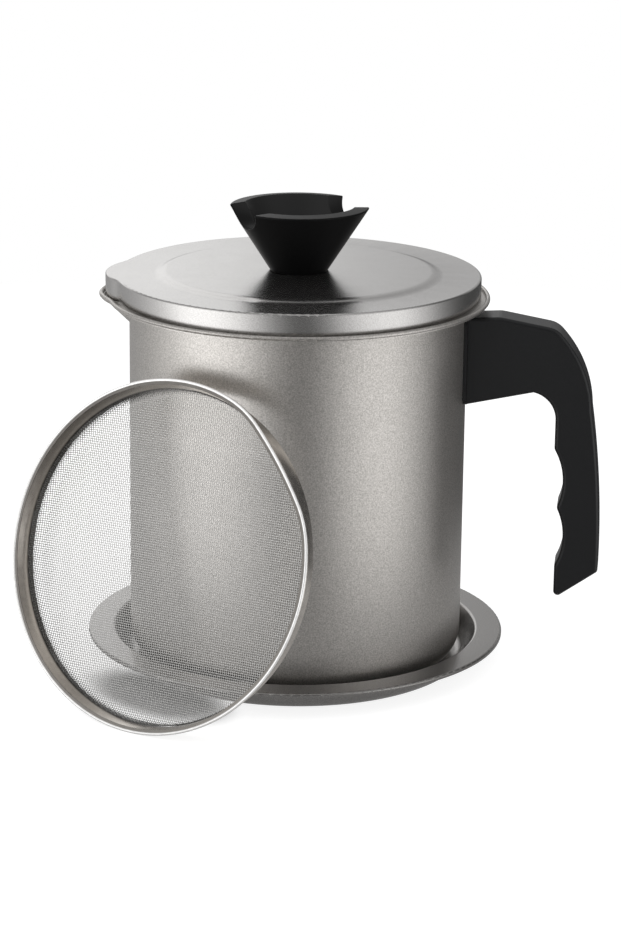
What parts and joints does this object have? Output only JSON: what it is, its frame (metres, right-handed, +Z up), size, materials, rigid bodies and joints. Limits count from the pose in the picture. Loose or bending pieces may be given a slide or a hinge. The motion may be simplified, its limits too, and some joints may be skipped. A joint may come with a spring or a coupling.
{
  "type": "bacon grease container",
  "caption": "Straight-walled grease pot with pouring lip, side handle, drip tray, lift-off lid with cup knob, and a loose mesh strainer that leans on its wall.",
  "frame": {"origin": "centre of the drip tray's resting face, on the pot's axis, at table level", "axes": "+Z up along the pot's axis, +X towards the handle, -X towards the pouring lip"},
  "size_m": [0.1958, 0.1773, 0.1601],
  "materials": {
    "pot_coating": "warm grey baked coating with fine metallic flake, satin",
    "lid_coating": "smooth satin grey metallic coating",
    "tray_coating": "satin grey metallic coating",
    "handle_plastic": "fine-grained black plastic",
    "knob_plastic": "satin black plastic",
    "strainer_steel": "bright stainless steel",
    "mesh_steel": "plain woven stainless wire cloth",
    "screw_steel": "bright plated steel",
    "insert_brass": "plain brass"
  },
  "bodies": {
    "tray": {"drip_tray": "tray_coating"},
    "canister": {"pot_shell": "pot_coating", "handle_bracket": "pot_coating", "handle": "handle_plastic", "handle_screw": "screw_steel"},
    "lid": {"lid_shell": "lid_coating", "lid_knob": "knob_plastic", "knob_insert": "insert_brass", "knob_washer": "screw_steel", "knob_screw": "screw_steel"},
    "strainer": {"strainer_rim": "strainer_steel", "strainer_mesh": "mesh_steel"}
  },
  "joints": [
    {"name": "canister_lift", "type": "slide", "parent": "tray", "child": "canister", "axis": [0, 0, 1], "range_m": [0, 0.06]},
    {"name": "lid_lift", "type": "slide", "parent": "canister", "child": "lid", "axis": [0, 0, 1], "range_m": [0, 0.06]},
    {"name": "strainer_slide", "type": "slide", "parent": "tray", "child": "strainer", "axis": [-0.4478, -0.8942, 0], "range_m": [0, 0.06]}
  ]
}
